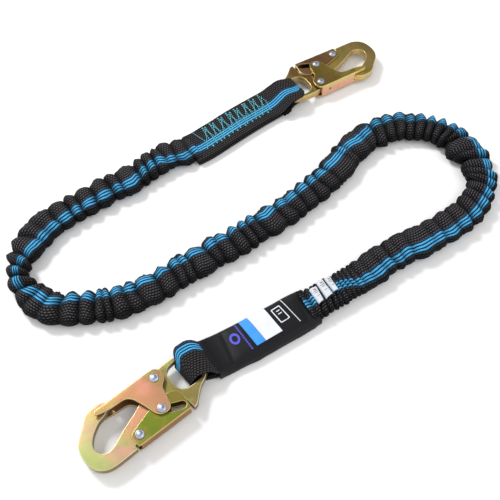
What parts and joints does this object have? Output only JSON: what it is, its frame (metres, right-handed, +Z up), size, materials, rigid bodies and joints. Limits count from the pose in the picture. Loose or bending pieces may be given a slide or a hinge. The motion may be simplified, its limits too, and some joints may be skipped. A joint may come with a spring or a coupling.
{
  "type": "shock absorbing lanyard",
  "caption": "Fall-protection lanyard of ruffled black tubular webbing with a blue tracer band over an elastic energy-absorbing core, ending in double-locking snap hooks at sewn loops.",
  "frame": {"origin": "centre of the footprint, on the ground under the relaxed lanyard", "axes": "+Z up from the ground the lanyard lies on; hook A lies towards -X -Y and hook B towards +X +Y; the S curve crosses the origin region along +X +Y"},
  "size_m": [0.5052, 0.5224, 0.0204],
  "materials": {
    "zinc_pale": "yellow zinc-chromate plating, pale iridescent green and pink, satin",
    "zinc_orange": "yellow zinc-chromate plating, orange to pink iridescence, satin",
    "zinc_olive": "yellow zinc-chromate plating, olive green, satin",
    "bronze_body": "darker bronze zinc-chromate plating, satin with bright edges",
    "bronze_gate": "bronze zinc-chromate plating with pink tint, satin",
    "bronze_lever": "dark bronze zinc-chromate plating, satin",
    "rivet_steel": "bright zinc, peened domed heads",
    "spring_steel": "oiled spring steel",
    "jacket_web": "black tubular polyester webbing, ribbed weave with a blue tracer band, ruffled",
    "loop_web": "black polyester webbing with a blue tracer band, flat and sewn",
    "core_yarn": "natural elastic energy-absorbing core web",
    "pad_web": "black wear pad web",
    "cover_fabric": "black smooth coated nylon cover with printed plain panels",
    "thread_blue": "turquoise blue bonded polyester thread",
    "label_paper": "white synthetic label stock"
  },
  "bodies": {
    "web_mid": {"jacket_mid": "jacket_web", "core_mid": "core_yarn"},
    "web_right": {"jacket_right": "jacket_web", "core_right": "core_yarn"},
    "web_left": {"jacket_left": "jacket_web", "core_left": "core_yarn"},
    "end_a": {"jacket_end_a": "jacket_web", "core_end_a": "core_yarn", "end_loop_a": "loop_web", "wear_pad_a": "pad_web", "loop_stitching_a": "thread_blue", "label_cover": "cover_fabric", "label_pages": "label_paper", "inspection_tag": "label_paper"},
    "end_b": {"end_loop_b": "loop_web", "core_end_b": "core_yarn", "wear_pad_b": "pad_web", "loop_stitching_b": "thread_blue"},
    "hook_a": {"hook_a_body": "zinc_pale", "hook_a_gate_pivot_rivet": "rivet_steel", "hook_a_lever_pivot_rivet": "rivet_steel", "hook_a_gate_spring": "spring_steel", "hook_a_lever_spring": "spring_steel"},
    "gate_a": {"hook_a_gate": "zinc_orange", "hook_a_latch_pin": "rivet_steel"},
    "lever_a": {"hook_a_lock_lever": "zinc_olive"},
    "hook_b": {"hook_b_body": "bronze_body", "hook_b_gate_pivot_rivet": "rivet_steel", "hook_b_lever_pivot_rivet": "rivet_steel", "hook_b_gate_spring": "spring_steel", "hook_b_lever_spring": "spring_steel"},
    "gate_b": {"hook_b_gate": "bronze_gate", "hook_b_latch_pin": "rivet_steel"},
    "lever_b": {"hook_b_lock_lever": "bronze_lever"}
  },
  "joints": [
    {"name": "right_bend", "type": "hinge", "parent": "web_mid", "child": "web_right", "pos_m": [0.19212, 0.12165, 0.0102], "axis": [0, 0, 1], "range_deg": [0, 60]},
    {"name": "left_bend", "type": "hinge", "parent": "web_mid", "child": "web_left", "pos_m": [-0.23212, -0.07225, 0.0102], "axis": [0, 0, 1], "range_deg": [0, 60]},
    {"name": "end_a_lift", "type": "hinge", "parent": "web_right", "child": "end_a", "pos_m": [0.08772, -0.07659, 0.0085], "axis": [-0.5593, 0.829, 0], "range_deg": [0, 60]},
    {"name": "end_b_lift", "type": "hinge", "parent": "web_left", "child": "end_b", "pos_m": [-0.0757, 0.09364, 0.0042], "axis": [0.4936, -0.8697, 0], "range_deg": [0, 60]},
    {"name": "hook_a_swing", "type": "hinge", "parent": "end_a", "child": "hook_a", "pos_m": [-0.05591, -0.1645, 0.0102], "axis": [-0.6807, 0.7325, 0], "range_deg": [0, 75]},
    {"name": "gate_a_hinge", "type": "hinge", "parent": "hook_a", "child": "gate_a", "pos_m": [-0.09402, -0.18121, 0.0102], "axis": [0, 0, 1], "range_deg": [0, 30]},
    {"name": "lever_a_hinge", "type": "hinge", "parent": "hook_a", "child": "lever_a", "pos_m": [-0.10259, -0.23149, 0.0102], "axis": [0, 0, 1], "range_deg": [0, 7.5]},
    {"name": "hook_b_swing", "type": "hinge", "parent": "end_b", "child": "hook_b", "pos_m": [0.03118, 0.17745, 0.0102], "axis": [0.5563, -0.831, 0], "range_deg": [0, 75]},
    {"name": "gate_b_hinge", "type": "hinge", "parent": "hook_b", "child": "gate_b", "pos_m": [0.07145, 0.18793, 0.0102], "axis": [0, 0, 1], "range_deg": [0, 30]},
    {"name": "lever_b_hinge", "type": "hinge", "parent": "hook_b", "child": "lever_b", "pos_m": [0.08786, 0.23622, 0.0102], "axis": [0, 0, 1], "range_deg": [0, 7.5]}
  ],
  "couplings": [
    {"joint": "lever_a_hinge", "follows": "gate_a_hinge", "ratio": 0.25},
    {"joint": "lever_b_hinge", "follows": "gate_b_hinge", "ratio": 0.25}
  ]
}
